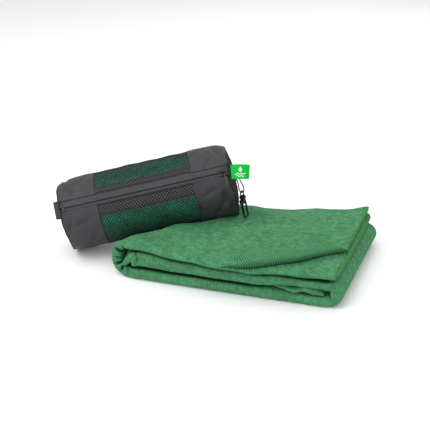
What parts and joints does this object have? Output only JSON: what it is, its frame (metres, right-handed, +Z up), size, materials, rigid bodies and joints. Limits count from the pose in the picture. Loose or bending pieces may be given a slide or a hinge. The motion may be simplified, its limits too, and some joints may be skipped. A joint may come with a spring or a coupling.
{
  "type": "quick dry towel",
  "caption": "Microfibre travel towel folded flat on the ground, with a second one rolled up in a zipped mesh pouch that leans on it, with a cord loop and clip.",
  "frame": {"origin": "on the ground, under the middle of the towel and pouch together", "axes": "+Z up, +X along the folded towel's long side, away from the pouch's lower end"},
  "size_m": [0.4093, 0.204, 0.1405],
  "materials": {
    "towel_cloth": "brushed microfibre",
    "towel_hem": "overlocked edge",
    "nylon": "ripstop nylon",
    "binding": "woven webbing",
    "mesh": "knitted hexagonal mesh",
    "zip_tape": "woven tape",
    "zip_coil": "moulded nylon coil",
    "dark_metal": "black nickel",
    "bright_steel": "drawn wire",
    "tag": "woven satin",
    "tag_print": "woven thread",
    "cord": "braided cord"
  },
  "bodies": {
    "towel": {"folded_towel": "towel_cloth", "turned_corner": "towel_cloth", "end_hem_upper": "towel_hem", "end_hem_lower": "towel_hem", "end_hem_corner": "towel_hem", "side_hem": "towel_hem"},
    "pouch": {"rolled_towel": "towel_cloth", "rolled_towel_hem": "towel_hem", "nylon_band_left": "nylon", "nylon_band_right": "nylon", "mesh_panel_upper": "mesh", "mesh_panel_lower": "mesh", "back_panel": "nylon", "end_cap_left": "nylon", "end_cap_right": "nylon", "seam_binding_left": "binding", "seam_binding_right": "binding", "zip_tape_upper": "zip_tape", "zip_tape_lower": "zip_tape", "zip_coil_upper": "zip_coil", "zip_coil_lower": "zip_coil", "bottom_stop": "zip_coil", "top_stops": "zip_coil", "grab_loop": "binding", "tag": "tag", "tag_print": "tag_print"},
    "slider": {"slider_body": "dark_metal", "slider_bridge": "dark_metal"},
    "link": {"pull_link": "dark_metal"},
    "pull": {"pull_tab": "dark_metal"},
    "hanging_loop": {"cord_loop": "cord", "hook_eye": "dark_metal"},
    "hook": {"hook_body": "dark_metal", "gate_pin": "bright_steel", "gate_spring": "bright_steel"},
    "gate": {"gate": "dark_metal"}
  },
  "joints": [
    {"name": "pouch_lift", "type": "slide", "parent": "towel", "child": "pouch", "axis": [0, 0, 1], "range_m": [0, 0.15]},
    {"name": "zip_open", "type": "slide", "parent": "pouch", "child": "slider", "axis": [-0.8881, -0.4141, -0.1994], "range_m": [0, 0.2]},
    {"name": "link_turn", "type": "hinge", "parent": "slider", "child": "link", "pos_m": [0.02365, -0.00347, 0.12011], "axis": [0.2426, -0.7907, 0.5621], "range_deg": [-40, 15]},
    {"name": "pull_raise", "type": "hinge", "parent": "link", "child": "pull", "pos_m": [0.0256, -0.00572, 0.11609], "axis": [-0.8881, -0.4141, -0.1994], "range_deg": [0, 100]},
    {"name": "loop_swing", "type": "hinge", "parent": "pouch", "child": "hanging_loop", "pos_m": [0.03194, 0.00491, 0.11818], "axis": [0.3904, -0.4508, -0.8027], "range_deg": [0, 40]},
    {"name": "hook_swivel", "type": "hinge", "parent": "hanging_loop", "child": "hook", "pos_m": [0.04398, 0.01213, 0.08094], "axis": [-0.1819, -0.0611, 0.9814], "continuous": true},
    {"name": "gate_open", "type": "hinge", "parent": "hook", "child": "gate", "pos_m": [0.04403, 0.00835, 0.0746], "axis": [0.9526, -0.2583, 0.1605], "range_deg": [0, 20], "stiffness_Nm_per_rad": 0.002, "springref_deg": -8.59}
  ]
}
